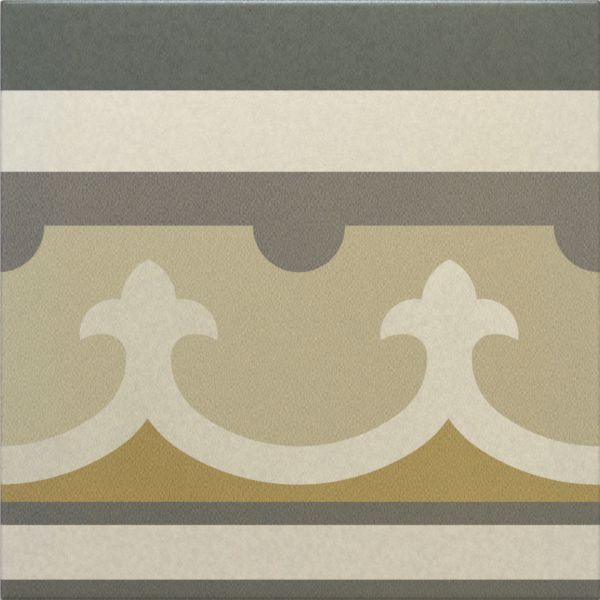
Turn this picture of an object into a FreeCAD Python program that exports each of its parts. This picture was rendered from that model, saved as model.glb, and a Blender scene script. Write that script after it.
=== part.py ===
"""A square, dry-pressed and glazed border tile, face up, as one fired piece.

The tile lies on the ribs of its back. Its edge section (back chamfer, drafted flank, upright land,
tight arris and the gentle fall of the glazed face towards it) runs round all four sides and mitres
at the corners. The back is keyed for the adhesive: drafted cells leave a square lattice of ribs.

Frame: origin on the rib plane under the tile's centre, +Z out of the glazed face, +X along the border.
Units: millimetres and degrees.
"""
import math
import os

import FreeCAD
import Part

# The pressed blank
TILE_SIDE = 200.0
THICKNESS = 9.0
CORNER_RADIUS = 1.0

# The edge section, from the face down to the back
CUSHION_RADIUS = 7.0
CUSHION_SLOPE = 12.0
ARRIS_RADIUS = 1.6
LAND_HEIGHT = 3.5
FLANK_DRAFT = 4.0
BACK_CHAMFER = 0.8

# The keyed back
KEY_DEPTH = 0.7
KEY_DRAFT = 45.0
RIB_WIDTH = 4.0
RIM_WIDTH = 6.0
CELLS_PER_SIDE = 6
CELL_CORNER_RADIUS = 3.0

# How far a cutting tool reaches past the surface that it opens
OVERCUT = 0.5

HALF_SIDE = TILE_SIDE / 2
UP = FreeCAD.Vector(0, 0, 1)
CENTRE = FreeCAD.Vector(0, 0, 0)


def edge_points():
    """The section's points at the +X edge as (x, z), from the foot up to the flat of the face."""
    slope = math.radians(CUSHION_SLOPE)
    turn = CUSHION_RADIUS - ARRIS_RADIUS
    arris_x = HALF_SIDE - ARRIS_RADIUS
    arris_z = THICKNESS - CUSHION_RADIUS + turn * math.cos(slope)
    face_x = arris_x - turn * math.sin(slope)
    face_centre_z = THICKNESS - CUSHION_RADIUS
    land_foot_z = arris_z - LAND_HEIGHT
    flank_x = HALF_SIDE - (land_foot_z - BACK_CHAMFER) * math.tan(math.radians(FLANK_DRAFT))

    def on_arris(lean):
        return arris_x + ARRIS_RADIUS * math.sin(lean), arris_z + ARRIS_RADIUS * math.cos(lean)

    def on_cushion(lean):
        return face_x + CUSHION_RADIUS * math.sin(lean), face_centre_z + CUSHION_RADIUS * math.cos(lean)

    return {
        "foot": (flank_x - BACK_CHAMFER, 0.0),
        "flank_foot": (flank_x, BACK_CHAMFER),
        "land_foot": (HALF_SIDE, land_foot_z),
        "land_head": (HALF_SIDE, arris_z),
        "arris_middle": on_arris((slope + math.pi / 2) / 2),
        "cushion_foot": on_cushion(slope),
        "cushion_middle": on_cushion(slope / 2),
        "face_edge": (face_x, THICKNESS),
    }


def edge_section():
    """The tile's whole section across X, as a face in the XZ plane."""
    points = edge_points()

    def place(name, side):
        x, z = points[name]
        return FreeCAD.Vector(side * x, 0, z)

    edges = []
    for side in (1, -1):
        for start, end in (("foot", "flank_foot"), ("flank_foot", "land_foot"), ("land_foot", "land_head")):
            edges.append(Part.makeLine(place(start, side), place(end, side)))
        for start, middle, end in (
            ("land_head", "arris_middle", "cushion_foot"),
            ("cushion_foot", "cushion_middle", "face_edge"),
        ):
            arc = Part.Arc(place(start, side), place(middle, side), place(end, side))
            edges.append(arc.toShape())
    for name in ("foot", "face_edge"):
        edges.append(Part.makeLine(place(name, 1), place(name, -1)))
    return Part.Face(Part.Wire(Part.__sortEdges__(edges)))


def rounded_square(side, radius, z):
    """A closed wire: a square about the origin at height z, with its corners rounded."""
    flat = side / 2 - radius
    edges = []
    for quarter in range(4):
        turn = FreeCAD.Rotation(UP, 90 * quarter)
        next_turn = FreeCAD.Rotation(UP, 90 * (quarter + 1))
        start = turn.multVec(FreeCAD.Vector(side / 2, -flat, z))
        end = turn.multVec(FreeCAD.Vector(side / 2, flat, z))
        diagonal = flat + radius / math.sqrt(2)
        middle = turn.multVec(FreeCAD.Vector(diagonal, diagonal, z))
        after = next_turn.multVec(FreeCAD.Vector(side / 2, -flat, z))
        edges.append(Part.makeLine(start, end))
        edges.append(Part.Arc(end, middle, after).toShape())
    return Part.Wire(edges)


def pressed_blank():
    """The blank with a plain back: one section drawn both ways, trimmed to the rounded plan."""
    across_x = edge_section().extrude(FreeCAD.Vector(0, TILE_SIDE, 0))
    across_x.translate(FreeCAD.Vector(0, -HALF_SIDE, 0))
    across_y = across_x.copy()
    across_y.rotate(CENTRE, UP, 90)
    plan = Part.Face(rounded_square(TILE_SIDE, CORNER_RADIUS, -OVERCUT))
    plan_prism = plan.extrude(UP * (THICKNESS + 2 * OVERCUT))
    return across_x.common(across_y).common(plan_prism)


def key_cell(side):
    """One cell's cutter about the origin: side wide at the rib plane, narrowing upwards by the draft."""
    lean = math.tan(math.radians(KEY_DRAFT))
    mouth = rounded_square(side + 2 * OVERCUT * lean, CELL_CORNER_RADIUS + OVERCUT * lean, -OVERCUT)
    floor = rounded_square(side - 2 * KEY_DEPTH * lean, CELL_CORNER_RADIUS - KEY_DEPTH * lean, KEY_DEPTH)
    return Part.makeLoft([mouth, floor], True, True)


def key_cells():
    """The cutters of the whole back, on a square grid inside the plain rim."""
    foot_x = edge_points()["foot"][0]
    pitch = (2 * (foot_x - RIM_WIDTH) + RIB_WIDTH) / CELLS_PER_SIDE
    first = -pitch * (CELLS_PER_SIDE - 1) / 2
    cell = key_cell(pitch - RIB_WIDTH)
    cells = []
    for row in range(CELLS_PER_SIDE):
        for column in range(CELLS_PER_SIDE):
            placed = cell.copy()
            placed.translate(FreeCAD.Vector(first + column * pitch, first + row * pitch, 0))
            cells.append(placed)
    return Part.makeCompound(cells)


def border_tile():
    """The finished tile: the pressed blank with its keyed back."""
    return pressed_blank().cut(key_cells())


os.makedirs("parts", exist_ok=True)
border_tile().exportStep("parts/border_tile.step")
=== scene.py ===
"""The looks of a square glazed border tile: its fired body, its glaze and its printed border.

One modelled tile stands for the CAD node. Its outline, edge section and keyed back follow the solid, with
the softness that firing gives. The printed border has no relief: the finish draws it from bands and arcs.

Sizes are in millimetres in the tile's own frame: x runs along the border, y up the face towards the wide
dark band, z out of the face, with the origin under the middle of the tile. The floor, the lights and the
camera's height are in metres.
"""
import math
from collections import namedtuple

import bmesh
import bpy
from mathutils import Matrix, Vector, noise


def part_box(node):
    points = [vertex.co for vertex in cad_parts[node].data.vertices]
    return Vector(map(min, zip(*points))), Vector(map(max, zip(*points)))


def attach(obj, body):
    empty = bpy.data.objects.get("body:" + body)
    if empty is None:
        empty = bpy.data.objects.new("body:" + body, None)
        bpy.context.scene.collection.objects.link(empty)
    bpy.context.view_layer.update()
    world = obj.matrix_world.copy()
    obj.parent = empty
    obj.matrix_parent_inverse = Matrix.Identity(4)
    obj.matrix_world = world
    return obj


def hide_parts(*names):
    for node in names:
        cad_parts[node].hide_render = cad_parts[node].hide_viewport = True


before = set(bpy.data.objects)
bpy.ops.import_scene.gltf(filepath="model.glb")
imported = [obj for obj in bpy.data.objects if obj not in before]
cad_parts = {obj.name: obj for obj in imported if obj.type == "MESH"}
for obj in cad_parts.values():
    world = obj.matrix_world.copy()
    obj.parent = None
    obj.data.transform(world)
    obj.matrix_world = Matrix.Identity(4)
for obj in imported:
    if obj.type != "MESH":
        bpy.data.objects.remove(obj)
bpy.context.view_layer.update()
tile_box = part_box("border_tile")

MM = 0.001
HALF_SIDE = tile_box[1].x / MM
THICKNESS = tile_box[1].z / MM

# The edge section, as on the solid
CORNER_RADIUS = 1.0
CUSHION_RADIUS = 7.0
CUSHION_SLOPE = math.radians(12)
ARRIS_RADIUS = 1.6
LAND_HEIGHT = 3.5
FLANK_DRAFT = math.radians(4)
BACK_CHAMFER = 0.8
EDGE_SOFTNESS = 0.12
CORNER_SOFTNESS = 0.5

# The keyed back, as on the solid
KEY_DEPTH = 0.7
RIB_WIDTH = 4.0
RIM_WIDTH = 6.0
CELLS_PER_SIDE = 6
CELL_CORNER_RADIUS = 3.0
WALL_SOFTNESS = 0.25

# How finely the tile is meshed
STEPS_PER_CELL = 16
STEPS_PER_SIDE = STEPS_PER_CELL * CELLS_PER_SIDE
CORNER_STEPS = 3
CUSHION_STEPS = 4
ARRIS_STEPS = 9
LAND_STEPS = 4
FLANK_SHARES = (0.33, 0.67)
WALL_STEPS = 7
WELD_DISTANCE = 0.001

# The slow unevenness of the glazed face, which stays level over a share of its margin
FACE_WAVE_DEPTH = 0.05
FACE_WAVE_SPACING = 38.0
FACE_WAVE_MARGIN = 12.0
LEVEL_SHARE = 0.4

# The border's bands, by the height at which each one ends, and the softness of all printed edges
OUTER_BAND_FOOT = 69.67
UPPER_CREAM_FOOT = 42.68
GREY_BAND_FOOT = 24.72
FIELD_FOOT = -67.14
THIN_LINE_FOOT = -74.87
LOWER_CREAM_FOOT = -92.99
PRINT_SOFTNESS = 0.22

# Half a fleur, its scroll and the drop beside it: arcs as (reach from the fleur's axis, height, radius)
FLEUR_AXIS = 50.04
DROP = (FLEUR_AXIS, 24.55, 15.33)
CENTRE_LOBE = (-6.96, -1.0, 16.14)
SIDE_LOBE = (11.15, -11.47, 11.81)
HOOK_TIP = (15.45, -25.35, 14.03)
HOOK_THROAT = (14.80, -18.73, 7.36)
STEM = (29.95, -19.42, 22.51)
SCROLL_TOP = (FLEUR_AXIS, 7.18, 55.89)
PEAK = (30.52, -18.73, 36.81)
SCROLL_FOOT = (FLEUR_AXIS, 10.91, 72.32)
HOOK_HEIGHT = -11.47
NECK_HEIGHT = -19.04
STEM_REACH = 16.40
PEAK_REACH = 10.23

# How far the print lies off the tile's middle, across and up, and how far across its ochre does
PRINT_REGISTER = (-0.50, 0.06)
OCHRE_REGISTER = -0.83

# The inks: colour, strengths of strokes, soft clouds and hue clouds, and drift of red, green and blue
Ink = namedtuple("Ink", "colour grain drift")
OUTER_GREEN = Ink((0.082, 0.091, 0.063), (0.105, 0.085, 0.4), (0.081, 0.057, 0.035))
# UPPER_CREAM and LOWER_CREAM are one cream on the tile: the upper is set a little lighter, painted light
# for the brighter light near the outer band, and the lower a little darker
UPPER_CREAM = Ink((0.614, 0.586, 0.444), (0.02, 0.03, 0.18), (-0.005, -0.017, -0.037))
BAND_GREY = Ink((0.170, 0.156, 0.111), (0.142, 0.04, 0.4), (0.085, 0.077, 0.064))
FIELD_TAN = Ink((0.420, 0.368, 0.206), (0.079, 0.02, 0.25), (0.0, -0.019, -0.028))
FLEUR_CREAM = Ink((0.580, 0.547, 0.400), (0.04, 0.035, 0.22), (0.069, 0.066, 0.087))
OCHRE = Ink((0.337, 0.240, 0.058), (0.103, 0.02, 0.35), (0.048, 0.062, 0.122))
LINE_GREY = Ink((0.127, 0.121, 0.082), (0.147, 0.04, 0.6), (0.096, 0.070, 0.042))
LOWER_CREAM = Ink((0.587, 0.551, 0.416), (0.025, 0.04, 0.18), (0.017, 0.012, 0.010))
FOOT_GREY = Ink((0.112, 0.109, 0.075), (0.125, 0.035, 0.5), (0.080, 0.067, 0.067))

# The clouds: spacing of their blotches in x, y and z, the patch of noise that they show, and its detail
Cloud = namedtuple("Cloud", "spacing patch detail")
STROKES = Cloud((0.36, 0.95, 0.9), 300.0, 0.0)
SOFT_CLOUDS = Cloud((1.6, 2.0, 2.0), 1100.0, 2.0)
HUE_CLOUDS = Cloud((3.2, 3.2, 3.2), 1400.0, 1.0)
TONE_CLOUDS = Cloud((22.0, 40.0, 40.0), 1700.0, 1.0)
FOOT_WANDER = Cloud((7.0, 7.0, 40.0), 500.0, 3.0)
BODY_MOTTLE = Cloud((9.0, 9.0, 9.0), 2300.0, 4.0)
IRON_SPECKS = Cloud((0.9, 0.9, 0.9), 2900.0, 2.0)
KILN_WASH = Cloud((6.0, 6.0, 6.0), 3100.0, 5.0)
ORANGE_PEEL = Cloud((0.9, 0.9, 0.9), 4100.0, 1.0)
SHEEN = Cloud((5.0, 5.0, 5.0), 4300.0, 2.0)
BODY_PORES = Cloud((0.6, 0.6, 0.6), 4700.0, 4.0)
FLOOR_CLOUDS = Cloud((0.3, 0.3, 0.3), 2.0, 3.0)

# The fine strokes: how far each one's opposite mark lies beside it, and how strong that mark is
STROKE_GAP = 0.57
STROKE_ECHO = 0.4

# The red, green and blue that the hue clouds add
HUE_SWING = (0.04, 0.0, -0.055)

# Painted shade towards the tile's two sides, standing in for the light and sheen that fall off there: the
# dark inks turn darker and all inks cooler; where it starts, its width and its strength
SIDE_SHADE_START = 76.0
SIDE_SHADE_WIDTH = 10.0
SIDE_SHADE = 0.55

# How the fired tone drifts along the border: where it is warmest, the length of its wave, and its clouds
WARMEST_PLACE = 80.0
TONE_LENGTH = 290.0
TONE_UNEVENNESS = 0.25

# The fired body, with its mottle and its iron specks
BODY_COLOUR = (0.470, 0.385, 0.285)
BODY_SHADE = (0.360, 0.285, 0.200)
MOTTLE_STRENGTH = 0.28
SPECK_COLOUR = (0.160, 0.100, 0.060)
SPECK_STRENGTH = 0.7
SPECK_SHARPNESS = 1.1
SPECK_RARITY = 1.4

# The kiln wash on the ribs: how high it reaches, and how patchy, how wide and how thick its patches are
WASH_COLOUR = (0.760, 0.740, 0.690)
WASH_TOP = 0.12
WASH_FADE = 0.1
WASH_PATCHINESS = 0.75
WASH_SPREAD = 0.7
WASH_STRENGTH = 0.75

# How far the print and the glaze run down the edge
PLAIN_GLAZE_COLOUR = (0.560, 0.520, 0.425)
PRINT_FOOT = 6.8
PRINT_FADE = 1.2
PRINT_WANDER = 0.2
GLAZE_FOOT = 5.2
GLAZE_FADE = 0.18
GLAZE_WANDER = 0.25

# The roughness of the glaze and of the bare body, each with its spread, and the glaze's refraction
GLAZE_ROUGHNESS = 0.33
GLAZE_SPREAD = 0.01
BODY_ROUGHNESS = 0.86
BODY_SPREAD = 0.012
GLAZE_IOR = 1.56

# The relief: depth of the orange peel, with the step at the glaze's foot and the pores as multiples of it
PEEL_DEPTH = 0.010
GLAZE_STEP = 8.0
PORE_DEPTH = 1.5

# The texture map: corner and width of face and back, rows of the edges, and how straight a side must look
FACE_ISLAND = (0.01, 0.01, 0.74)
BACK_ISLAND = (0.765, 0.01, 0.225)
EDGE_ISLAND_FOOT = 0.765
EDGE_ISLAND_STEP = 0.058
EDGE_ISLAND_STRETCH = 1.5
FACING_SHARE = 0.5

# The studio floor
FLOOR_SIZE = 8.0
FLOOR_COLOUR = (0.635, 0.625, 0.605)
FLOOR_PALE = (0.685, 0.675, 0.655)
FLOOR_UNEVENNESS = 0.25
FLOOR_ROUGHNESS = 0.8

# The soft panels: place, size, power, colour and spread of the beam
Panel = namedtuple("Panel", "name place size power colour spread")
WIDE = math.pi
NARROW = math.radians(72)
PANELS = (
    Panel("edge_strip", (0.003, 0.122, 0.0150), (0.20, 0.016), 0.0175, (0.68, 0.75, 1.0), NARROW),
    Panel("near_panel", (0.0, 0.50, 0.36), (0.45, 0.40), 2.0, (0.88, 0.90, 1.0), WIDE),
    Panel("cool_side", (-0.45, 0.05, 0.47), (1.0, 0.8), 1.75, (0.69, 0.68, 1.0), WIDE),
    Panel("warm_side", (0.45, -0.10, 0.47), (1.0, 0.8), 1.05, (1.0, 0.97, 0.95), WIDE),
)

# The sky at its foot, and how much brighter it is straight above and beyond the outer band
SKY_COLOUR = (1.0, 0.955, 0.87)
SKY_STRENGTH = 0.34
SKY_RISE = 0.34
SKY_LEAN = 0.15

# The camera: straight over the face, with the photograph's framing
FRAME_PIXELS = 600
PIXELS_PER_MM = 3.006
TILE_CENTRE_PIXEL = (300.5, 300.18)
CAMERA_HEIGHT = 1.2
SENSOR_WIDTH = 36.0

# Brings the noise of the Noise Texture, which keeps near 0.5, to a spread of about 1
NOISE_GAIN = 8.0

# The Mix node's sockets for colours and for vectors, by number, because they share their names
COLOUR_FIRST = 6
COLOUR_SECOND = 7
COLOUR_RESULT = 2
VECTOR_FIRST = 4
VECTOR_SECOND = 5
VECTOR_RESULT = 1


class Field:
    """A value that changes over a surface, at one output of a node. Arithmetic adds Math nodes."""

    def __init__(self, finish, socket):
        self.finish = finish
        self.socket = socket

    def math(self, operation, *values):
        return self.finish.node("Math", {"operation": operation}, dict(enumerate(values)))

    def __add__(self, other):
        return self.math("ADD", self, other)

    def __radd__(self, other):
        return self.math("ADD", other, self)

    def __sub__(self, other):
        return self.math("SUBTRACT", self, other)

    def __rsub__(self, other):
        return self.math("SUBTRACT", other, self)

    def __mul__(self, other):
        return self.math("MULTIPLY", self, other)

    def __rmul__(self, other):
        return self.math("MULTIPLY", other, self)

    def __truediv__(self, other):
        return self.math("DIVIDE", self, other)

    def __pow__(self, power):
        return self.math("POWER", self, power)

    def __abs__(self):
        return self.math("ABSOLUTE", self)

    def __neg__(self):
        return self.math("MULTIPLY", self, -1.0)

    def __gt__(self, other):
        return self.math("GREATER_THAN", self, other)

    def __lt__(self, other):
        return self.math("LESS_THAN", self, other)

    def cosine(self):
        return self.math("COSINE", self)

    def at_least(self, other):
        return self.math("MAXIMUM", self, other)

    def at_most(self, other):
        return self.math("MINIMUM", self, other)

    def clamped(self):
        return self.at_least(0.0).at_most(1.0)


class Finish:
    """The nodes of a material or of the sky."""

    def __init__(self, owner):
        self.owner = owner
        owner.use_nodes = True
        self.nodes = owner.node_tree.nodes
        self.links = owner.node_tree.links
        self.nodes.clear()

    def node(self, kind, settings, sockets, output=0):
        """Add a node: its settings, then each socket's value or link. Gives one output, if it has any."""
        made = self.nodes.new("ShaderNode" + kind)
        for name, value in settings.items():
            setattr(made, name, value)
        for name, value in sockets.items():
            if isinstance(value, Field):
                self.links.new(value.socket, made.inputs[name])
            else:
                made.inputs[name].default_value = value
        return Field(self, made.outputs[output]) if made.outputs else None

    def blend(self, share, first, second):
        """A colour that goes from first to second as share goes from 0 to 1."""
        colours = {"Factor": share, COLOUR_FIRST: opaque(first), COLOUR_SECOND: opaque(second)}
        return self.node("Mix", {"data_type": "RGBA"}, colours, COLOUR_RESULT)

    def between(self, share, first, second):
        """A vector that goes from first to second as share goes from 0 to 1."""
        vectors = {"Factor": share, VECTOR_FIRST: first, VECTOR_SECOND: second}
        return self.node("Mix", {"data_type": "VECTOR"}, vectors, VECTOR_RESULT)

    def tint(self, colour, factor):
        """A colour times a value or another colour."""
        colours = {"Factor": 1.0, COLOUR_FIRST: opaque(colour), COLOUR_SECOND: opaque(factor)}
        return self.node("Mix", {"data_type": "RGBA", "blend_type": "MULTIPLY"}, colours, COLOUR_RESULT)

    def parts(self, vector):
        """The three parts of a vector or colour."""
        return [self.node("SeparateXYZ", {}, {"Vector": vector}, part) for part in "XYZ"]

    def scaled_sum(self, vector, scale, shift):
        """A vector times a scale plus a shift, part by part."""
        return self.node("VectorMath", {"operation": "MULTIPLY_ADD"}, {0: vector, 1: scale, 2: shift})

    def cloud(self, point, blotches):
        """Soft noise about 0, seldom beyond 2 or -2, with the spacing, patch and detail of its blotches."""
        share = tuple(1 / step for step in blotches.spacing)
        moved = self.scaled_sum(point, share, (blotches.patch, 0.0, 0.0))
        noise_sockets = {"Vector": moved, "Scale": 1.0, "Detail": blotches.detail, "Roughness": 0.5}
        return self.node("TexNoise", {}, noise_sockets) * NOISE_GAIN - NOISE_GAIN / 2


def opaque(colour):
    """A plain colour with its alpha; a field stays as it is."""
    if isinstance(colour, Field):
        return colour
    return (*colour, 1.0)


def largest(first, *others):
    """The largest of several fields."""
    for other in others:
        first = first.at_least(other)
    return first


def smallest(first, *others):
    """The smallest of several fields."""
    for other in others:
        first = first.at_most(other)
    return first


def choose(test, yes, no):
    """yes where test is 1, no where it is 0."""
    return no + test * (yes - no)


def inside(arc, reach, height):
    """How far a point lies inside an arc's circle."""
    centre_reach, centre_height, radius = arc
    across = reach - centre_reach
    along = height - centre_height
    return radius - (across * across + along * along) ** 0.5


def printed(depth):
    """The cover of an ink, from how deep a point lies inside its outline."""
    return (depth / PRINT_SOFTNESS + 0.5).clamped()


def fleur_reach(x, register):
    """How far a point lies from the nearer fleur's axis, in a print that is off by its register."""
    return abs(abs(x - register) - FLEUR_AXIS)


def fleur_and_scroll(reach, height):
    """How deep a point lies inside the cream fleur and the scroll that it stands on."""
    throat = -inside(HOOK_THROAT, reach, height)
    lobe = smallest(inside(SIDE_LOBE, reach, height), -inside(HOOK_TIP, reach, height), throat)
    waist = choose(height > NECK_HEIGHT, throat, -inside(STEM, reach, height))
    stem = smallest(waist, HOOK_HEIGHT - height)
    scroll = choose(reach < STEM_REACH, stem, -inside(SCROLL_TOP, reach, height))
    return largest(inside(CENTRE_LOBE, reach, height), lobe, scroll)


def ochre_ground(reach, height):
    """How deep a point lies inside the ochre below the scroll."""
    peak = -inside(PEAK, reach, height)
    below_scroll = choose(reach < PEAK_REACH, peak, -inside(SCROLL_FOOT, reach, height))
    return smallest(below_scroll, NECK_HEIGHT - height)


def border_layers(x, y):
    """The border's inks in the order of printing, each with its cover."""
    reach = fleur_reach(x, PRINT_REGISTER[0])
    y = y - PRINT_REGISTER[1]
    grey_band = largest(y - GREY_BAND_FOOT, inside(DROP, reach, y))
    return (
        (FLEUR_CREAM, printed(fleur_and_scroll(reach, y))),
        (OCHRE, printed(ochre_ground(fleur_reach(x, OCHRE_REGISTER), y))),
        (BAND_GREY, printed(grey_band)),
        (UPPER_CREAM, printed(y - UPPER_CREAM_FOOT)),
        (OUTER_GREEN, printed(y - OUTER_BAND_FOOT)),
        (LINE_GREY, printed(FIELD_FOOT - y)),
        (LOWER_CREAM, printed(THIN_LINE_FOOT - y)),
        (FOOT_GREY, printed(LOWER_CREAM_FOOT - y)),
    )


def tone_drift(finish, point, x):
    """How warm the tile fired along the border: about 1 where it is warmest, -1 where it is coolest."""
    wave = ((x - WARMEST_PLACE) * (2 * math.pi / TONE_LENGTH)).cosine()
    return wave + finish.cloud(point, TONE_CLOUDS) * TONE_UNEVENNESS


def border_print(finish, point, x, y):
    """The printed colour: each ink with its strokes and clouds, its drift with the fired tone, and painted
    shade towards the two sides.
    """
    colour, grain, drift = FIELD_TAN
    for ink, cover in border_layers(x, y):
        colour = finish.blend(cover, colour, ink.colour)
        grain = finish.between(cover, grain, ink.grain)
        drift = finish.between(cover, drift, ink.drift)
    strokes, clouds, hues = finish.parts(grain)
    stroke = finish.cloud(point, STROKES)
    beside = finish.cloud(point, STROKES._replace(patch=STROKES.patch + STROKE_GAP / STROKES.spacing[0]))
    soft = finish.cloud(point, SOFT_CLOUDS)
    # Painted shade: the inks turn darker and cooler towards the two sides, where the light and sheen fall
    # off
    side_shade = ((abs(x) - SIDE_SHADE_START) / SIDE_SHADE_WIDTH).clamped() * SIDE_SHADE
    tone = tone_drift(finish, point, x) - side_shade
    hue = finish.cloud(point, HUE_CLOUDS) * hues - side_shade
    shade = 1.0 + (stroke - STROKE_ECHO * beside) * strokes + soft * clouds
    shade = finish.scaled_sum(drift, tone, shade)
    shade = finish.scaled_sum(HUE_SWING, hue, shade)
    return finish.tint(colour, shade)


def stoneware(finish, point, z):
    """The bare body's colour: mottled buff with iron specks, and a pale kiln wash on the ribs."""
    mottle = finish.cloud(point, BODY_MOTTLE)
    body = finish.blend((mottle * MOTTLE_STRENGTH + 0.5).clamped(), BODY_COLOUR, BODY_SHADE)
    speck = (finish.cloud(point, IRON_SPECKS) * SPECK_SHARPNESS - SPECK_RARITY).clamped()
    body = finish.blend(speck * SPECK_STRENGTH, body, SPECK_COLOUR)
    patch = (finish.cloud(point, KILN_WASH) * WASH_PATCHINESS + WASH_SPREAD).clamped()
    on_rib = ((WASH_TOP - z) / WASH_FADE).clamped()
    return finish.blend(on_rib * patch * WASH_STRENGTH, body, WASH_COLOUR)


def glazed_stoneware():
    """The tile's one finish: printed satin glaze over the face and arris, bare body below it."""
    finish = Finish(bpy.data.materials.new("glazed_stoneware"))
    place = finish.node("TexCoord", {}, {}, "Object")
    point = finish.node("VectorMath", {"operation": "SCALE"}, {0: place, "Scale": 1 / MM})
    x, y, z = finish.parts(point)

    wander = finish.cloud(point, FOOT_WANDER)
    glaze_foot = GLAZE_FOOT + wander * GLAZE_WANDER
    glaze = ((z - glaze_foot) / GLAZE_FADE + 0.5).clamped()
    ink = ((z - PRINT_FOOT + wander * PRINT_WANDER) / PRINT_FADE + 0.5).clamped()

    glazed = finish.blend(ink, PLAIN_GLAZE_COLOUR, border_print(finish, point, x, y))
    colour = finish.blend(glaze, stoneware(finish, point, z), glazed)

    peel = finish.cloud(point, ORANGE_PEEL)
    sheen = finish.cloud(point, SHEEN)
    pores = finish.cloud(point, BODY_PORES)
    glaze_roughness = GLAZE_ROUGHNESS + sheen * GLAZE_SPREAD + peel * GLAZE_SPREAD
    roughness = choose(glaze, glaze_roughness, BODY_ROUGHNESS + pores * BODY_SPREAD)
    height = choose(glaze, peel + GLAZE_STEP, pores * PORE_DEPTH)
    relief = finish.node("Bump", {}, {"Strength": 1.0, "Distance": PEEL_DEPTH * MM, "Height": height})

    shader = finish.node(
        "BsdfPrincipled",
        {},
        {"Base Color": colour, "Roughness": roughness, "Normal": relief, "IOR": GLAZE_IOR},
    )
    finish.node("OutputMaterial", {}, {"Surface": shader})
    return finish.owner


def square_side(half, steps):
    """One side of a square about the origin, from its corner, without its end point."""
    return [(half, half * (2 * step / steps - 1)) for step in range(steps)]


def rounded_side(half, radius, steps):
    """One side of a rounded square, from the middle of one corner to the middle of the next."""
    flat = half - radius
    eighth = math.pi / 4 / CORNER_STEPS
    straight = steps - 2 * CORNER_STEPS
    points = []
    for step in range(CORNER_STEPS):
        angle = eighth * (step - CORNER_STEPS)
        points.append((flat + radius * math.cos(angle), radius * math.sin(angle) - flat))
    for step in range(straight):
        points.append((half, flat * (2 * step / straight - 1)))
    for step in range(CORNER_STEPS):
        angle = eighth * step
        points.append((flat + radius * math.cos(angle), flat + radius * math.sin(angle)))
    return points


def ring(mesh, side, height, centre=(0.0, 0.0)):
    """A closed ring of vertices: one side's points, turned to all four sides about a centre."""
    vertices = []
    for turn_x, turn_y in ((1, 0), (0, 1), (-1, 0), (0, -1)):
        for x, y in side:
            placed = (centre[0] + x * turn_x - y * turn_y, centre[1] + x * turn_y + y * turn_x, height)
            vertices.append(mesh.verts.new(Vector(placed) * MM))
    return vertices


def join_rings(mesh, inner, outer):
    """A strip of facets between two rings, seen from the side where outer lies outside inner."""
    for start in range(len(inner)):
        end = (start + 1) % len(inner)
        mesh.faces.new((inner[start], outer[start], outer[end], inner[end]))


def edge_section():
    """The edge from the flat of the face down to the foot, as (inset from the side, height) points."""
    turn = CUSHION_RADIUS - ARRIS_RADIUS
    arris_height = THICKNESS - CUSHION_RADIUS + turn * math.cos(CUSHION_SLOPE)
    face_inset = ARRIS_RADIUS + turn * math.sin(CUSHION_SLOPE)
    land_foot = arris_height - LAND_HEIGHT
    flank_inset = (land_foot - BACK_CHAMFER) * math.tan(FLANK_DRAFT)

    points = []
    for step in range(CUSHION_STEPS):
        lean = CUSHION_SLOPE * step / CUSHION_STEPS
        fall = CUSHION_RADIUS * (1 - math.cos(lean))
        points.append((face_inset - CUSHION_RADIUS * math.sin(lean), THICKNESS - fall))
    for step in range(ARRIS_STEPS + 1):
        lean = CUSHION_SLOPE + (math.pi / 2 - CUSHION_SLOPE) * step / ARRIS_STEPS
        inset = ARRIS_RADIUS * (1 - math.sin(lean))
        points.append((inset, arris_height + ARRIS_RADIUS * math.cos(lean)))
    for step in range(LAND_STEPS):
        share = (step + 1) / LAND_STEPS
        points.append((0.0, arris_height - LAND_HEIGHT * share))
    for share in FLANK_SHARES:
        points.append((flank_inset * share, land_foot + (BACK_CHAMFER - land_foot) * share))
    points.append((flank_inset, BACK_CHAMFER + EDGE_SOFTNESS))
    points.append((flank_inset + EDGE_SOFTNESS, BACK_CHAMFER - EDGE_SOFTNESS))
    points.append((flank_inset + BACK_CHAMFER - EDGE_SOFTNESS, EDGE_SOFTNESS))
    points.append((flank_inset + BACK_CHAMFER + EDGE_SOFTNESS, 0.0))
    return points


def corner_radius(inset, face_inset):
    """The plan radius of the tile's corners, a little tighter towards the face."""
    return CORNER_RADIUS - (CORNER_RADIUS - CORNER_SOFTNESS) * min(inset / face_inset, 1.0)


def face_wave(x, y):
    """How far the glazed face dips at a point; it is level near the edges."""
    margin = (HALF_SIDE - max(abs(x), abs(y))) / FACE_WAVE_MARGIN
    fade = min(max(margin - LEVEL_SHARE, 0.0), 1.0)
    swell = 0.5 + 0.5 * noise.noise(Vector((x, y, 0.0)) / FACE_WAVE_SPACING)
    return FACE_WAVE_DEPTH * fade * swell


def glazed_face(mesh, half):
    """The face as an even grid; gives the ring of vertices along its border."""
    step = 2 * half / STEPS_PER_SIDE
    rows = []
    for row in range(STEPS_PER_SIDE + 1):
        y = row * step - half
        line = []
        for column in range(STEPS_PER_SIDE + 1):
            x = column * step - half
            line.append(mesh.verts.new(Vector((x, y, THICKNESS - face_wave(x, y))) * MM))
        rows.append(line)
    for low, high in zip(rows, rows[1:]):
        for column in range(STEPS_PER_SIDE):
            mesh.faces.new((low[column], low[column + 1], high[column + 1], high[column]))
    right = [line[-1] for line in rows[:-1]]
    top = rows[-1][:0:-1]
    left = [line[0] for line in rows[:0:-1]]
    bottom = rows[0][:-1]
    return right + top + left + bottom


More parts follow.
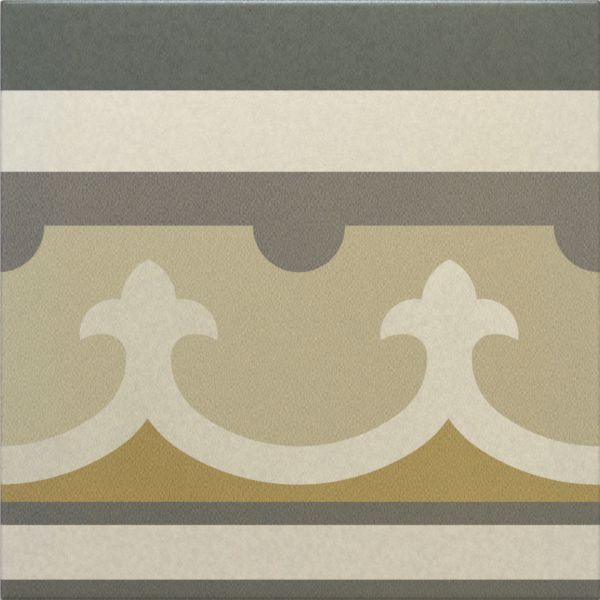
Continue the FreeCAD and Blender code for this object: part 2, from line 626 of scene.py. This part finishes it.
def key_cell(mesh, centre, pitch):
    """One cell of the back with its half of the ribs round it: plain rib, softened wall, floor."""
    mouth = (pitch - RIB_WIDTH) / 2
    outer = ring(mesh, square_side(pitch / 2, STEPS_PER_CELL), 0.0, centre)
    for step in range(WALL_STEPS + 1):
        share = step / WALL_STEPS
        inset = share * (KEY_DEPTH + 2 * WALL_SOFTNESS) - WALL_SOFTNESS
        rise = KEY_DEPTH * share * share * (3 - 2 * share)
        side = rounded_side(mouth - inset, CELL_CORNER_RADIUS - inset, STEPS_PER_CELL)
        inner = ring(mesh, side, rise, centre)
        join_rings(mesh, outer, inner)
        outer = inner
    mesh.faces.new(outer[::-1])


def keyed_back(mesh, half):
    """The lattice of ribs and cells; gives the ring of vertices that the rim joins on to."""
    pitch = 2 * half / CELLS_PER_SIDE
    for row in range(CELLS_PER_SIDE):
        for column in range(CELLS_PER_SIDE):
            key_cell(mesh, (pitch * (column + 0.5) - half, pitch * (row + 0.5) - half), pitch)
    return ring(mesh, square_side(half, STEPS_PER_SIDE), 0.0)


def lay_out_map(mesh):
    """Give each facet its place on the texture map by the side that it looks to. The face gets most."""
    layer = mesh.loops.layers.uv.new("OFBake")
    width = 2 * HALF_SIDE * MM
    mesh.normal_update()
    for facet in mesh.faces:
        normal = facet.normal
        for loop in facet.loops:
            x, y, z = loop.vert.co
            across = x / width + 0.5
            along = y / width + 0.5
            if normal.z > FACING_SHARE:
                left, low, size = FACE_ISLAND
                place = (left + across * size, low + along * size)
            elif normal.z < -FACING_SHARE:
                left, low, size = BACK_ISLAND
                place = (left + (1 - across) * size, low + along * size)
            else:
                left, low, size = FACE_ISLAND
                faces_x = abs(normal.x) > abs(normal.y)
                run = along if faces_x else across
                slot = 2 * faces_x + (normal.x + normal.y > 0)
                foot = EDGE_ISLAND_FOOT + EDGE_ISLAND_STEP * slot
                place = (left + run * size, foot + z / width * size * EDGE_ISLAND_STRETCH)
            loop[layer].uv = place


def border_tile():
    """The whole tile as one closed mesh."""
    mesh = bmesh.new()
    section = edge_section()
    face_inset = section[0][0]
    inner = glazed_face(mesh, HALF_SIDE - face_inset - CORNER_SOFTNESS)
    for inset, height in section:
        side = rounded_side(HALF_SIDE - inset, corner_radius(inset, face_inset), STEPS_PER_SIDE)
        outer = ring(mesh, side, height)
        join_rings(mesh, inner, outer)
        inner = outer
    lattice_half = HALF_SIDE - section[-1][0] - RIM_WIDTH + RIB_WIDTH / 2
    join_rings(mesh, inner, keyed_back(mesh, lattice_half))
    bmesh.ops.remove_doubles(mesh, verts=mesh.verts, dist=WELD_DISTANCE * MM)
    lay_out_map(mesh)
    for facet in mesh.faces:
        facet.smooth = True

    data = bpy.data.meshes.new("glazed_border_tile")
    mesh.to_mesh(data)
    mesh.free()
    tile = bpy.data.objects.new("glazed_border_tile", data)
    bpy.context.scene.collection.objects.link(tile)
    tile.modifiers.new("flat_faces_stay_flat", "WEIGHTED_NORMAL")
    data.materials.append(glazed_stoneware())
    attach(tile, "root")
    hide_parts("border_tile")


def pale_floor():
    """The studio floor that the tile lies on."""
    finish = Finish(bpy.data.materials.new("pale_floor"))
    place = finish.node("TexCoord", {}, {}, "Object")
    patch = finish.cloud(place, FLOOR_CLOUDS)
    colour = finish.blend((patch * FLOOR_UNEVENNESS + 0.5).clamped(), FLOOR_COLOUR, FLOOR_PALE)
    shader = finish.node("BsdfPrincipled", {}, {"Base Color": colour, "Roughness": FLOOR_ROUGHNESS})
    finish.node("OutputMaterial", {}, {"Surface": shader})
    bpy.ops.mesh.primitive_plane_add(size=FLOOR_SIZE)
    floor = bpy.context.object
    floor.name = "studio_floor"
    floor.data.materials.append(finish.owner)


def soft_panel(panel):
    """A soft oval panel, aimed at the middle of the tile's back. The camera doesn't see it."""
    data = bpy.data.lights.new(panel.name, "AREA")
    data.shape = "ELLIPSE"
    data.size, data.size_y = panel.size
    data.energy = panel.power
    data.color = panel.colour
    data.spread = panel.spread
    light = bpy.data.objects.new(panel.name, data)
    light.location = panel.place
    light.rotation_euler = (-Vector(panel.place)).to_track_quat("-Z", "Y").to_euler()
    light.visible_camera = False
    bpy.context.scene.collection.objects.link(light)


def studio_light():
    """A low strip and a panel beyond the outer band, a cool and a warm panel at the sides, and a sky."""
    for panel in PANELS:
        soft_panel(panel)
    pale_sky()


def pale_sky():
    """A soft sky that is brighter straight above and beyond the outer band."""
    sky = Finish(bpy.data.worlds.new("pale_sky"))
    direction = sky.node("TexCoord", {}, {}, "Generated")
    _, beyond_band, above = sky.parts(direction)
    strength = (SKY_STRENGTH + above * SKY_RISE + beyond_band * SKY_LEAN).at_least(0.0)
    glow = sky.node("Background", {}, {"Color": opaque(SKY_COLOUR), "Strength": strength})
    sky.node("OutputWorld", {}, {"Surface": glow})
    bpy.context.scene.world = sky.owner


def photo_camera():
    """A long lens straight over the tile, framed as in the photograph."""
    data = bpy.data.cameras.new("photo_camera")
    width = FRAME_PIXELS / PIXELS_PER_MM * MM
    distance = CAMERA_HEIGHT - THICKNESS * MM
    data.sensor_width = SENSOR_WIDTH
    data.lens = SENSOR_WIDTH * distance / width
    camera = bpy.data.objects.new("photo_camera", data)
    aside = FRAME_PIXELS / 2 - TILE_CENTRE_PIXEL[0]
    above = TILE_CENTRE_PIXEL[1] - FRAME_PIXELS / 2
    camera.location = (aside / PIXELS_PER_MM * MM, above / PIXELS_PER_MM * MM, CAMERA_HEIGHT)
    bpy.context.scene.collection.objects.link(camera)
    bpy.context.scene.camera = camera
    bpy.context.scene.view_settings.view_transform = "Standard"


border_tile()
pale_floor()
studio_light()
photo_camera()
